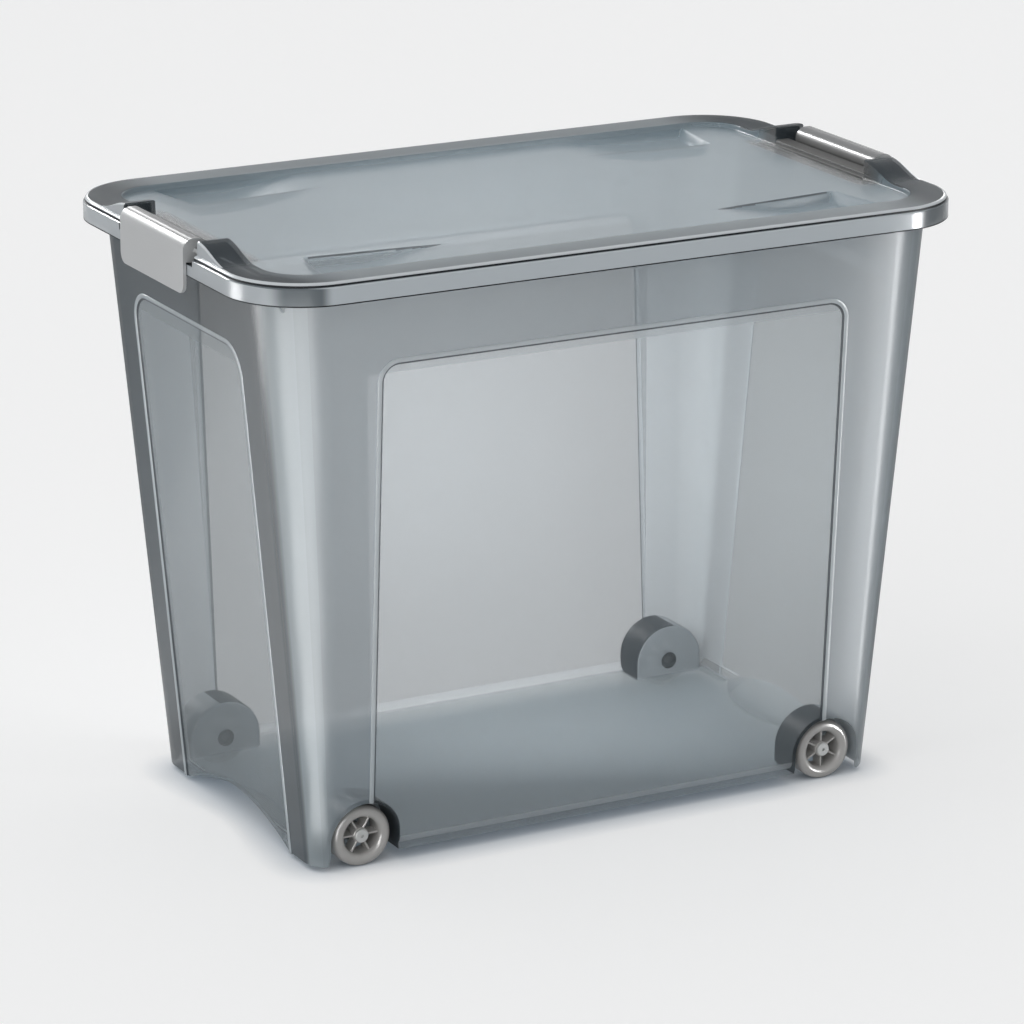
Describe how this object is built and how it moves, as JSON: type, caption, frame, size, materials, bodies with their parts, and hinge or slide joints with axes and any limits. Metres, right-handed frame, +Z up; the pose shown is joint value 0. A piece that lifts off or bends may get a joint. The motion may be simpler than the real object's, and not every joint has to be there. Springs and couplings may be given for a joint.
{
  "type": "rolling ingredient bin",
  "caption": "Wheeled storage bin for dry ingredients, with drafted walls, a lift-off recessed lid held by hinged end clips, and small wheels in wells.",
  "frame": {"origin": "on the ground under the middle of the bin", "axes": "+X along the long side towards one clip, +Y across the bin, +Z up"},
  "size_m": [0.6058, 0.3686, 0.4756],
  "materials": {
    "tub": "smoked translucent polypropylene, smooth with a soft gloss",
    "lid": "smoked translucent polypropylene, finely textured",
    "clip": "opaque warm light grey, satin",
    "wheel": "mid grey, satin",
    "axle": "pale grey, satin"
  },
  "bodies": {
    "tub": {"tub": "tub", "axle_front_left": "axle", "axle_front_right": "axle", "axle_back_left": "axle", "axle_back_right": "axle"},
    "lid": {"lid": "lid"},
    "clip_left": {"clip_left": "clip"},
    "clip_right": {"clip_right": "clip"},
    "wheel_front_left": {"wheel_front_left": "wheel"},
    "wheel_front_right": {"wheel_front_right": "wheel"},
    "wheel_back_left": {"wheel_back_left": "wheel"},
    "wheel_back_right": {"wheel_back_right": "wheel"}
  },
  "joints": [
    {"name": "lid_lift", "type": "slide", "parent": "tub", "child": "lid", "axis": [0, 0, 1], "range_m": [0, 0.4]},
    {"name": "clip_left_hinge", "type": "hinge", "parent": "lid", "child": "clip_left", "pos_m": [-0.2917, 0, 0.4666], "axis": [0, 1, 0], "range_deg": [0, 120]},
    {"name": "clip_right_hinge", "type": "hinge", "parent": "lid", "child": "clip_right", "pos_m": [0.2917, 0, 0.4666], "axis": [0, -1, 0], "range_deg": [0, 120]},
    {"name": "wheel_front_left_spin", "type": "hinge", "parent": "tub", "child": "wheel_front_left", "pos_m": [-0.2012, -0.1272, 0.02375], "axis": [0, 1, 0], "continuous": true},
    {"name": "wheel_front_right_spin", "type": "hinge", "parent": "tub", "child": "wheel_front_right", "pos_m": [0.2012, -0.1272, 0.02375], "axis": [0, 1, 0], "continuous": true},
    {"name": "wheel_back_left_spin", "type": "hinge", "parent": "tub", "child": "wheel_back_left", "pos_m": [-0.2012, 0.1272, 0.02375], "axis": [0, 1, 0], "continuous": true},
    {"name": "wheel_back_right_spin", "type": "hinge", "parent": "tub", "child": "wheel_back_right", "pos_m": [0.2012, 0.1272, 0.02375], "axis": [0, 1, 0], "continuous": true}
  ]
}
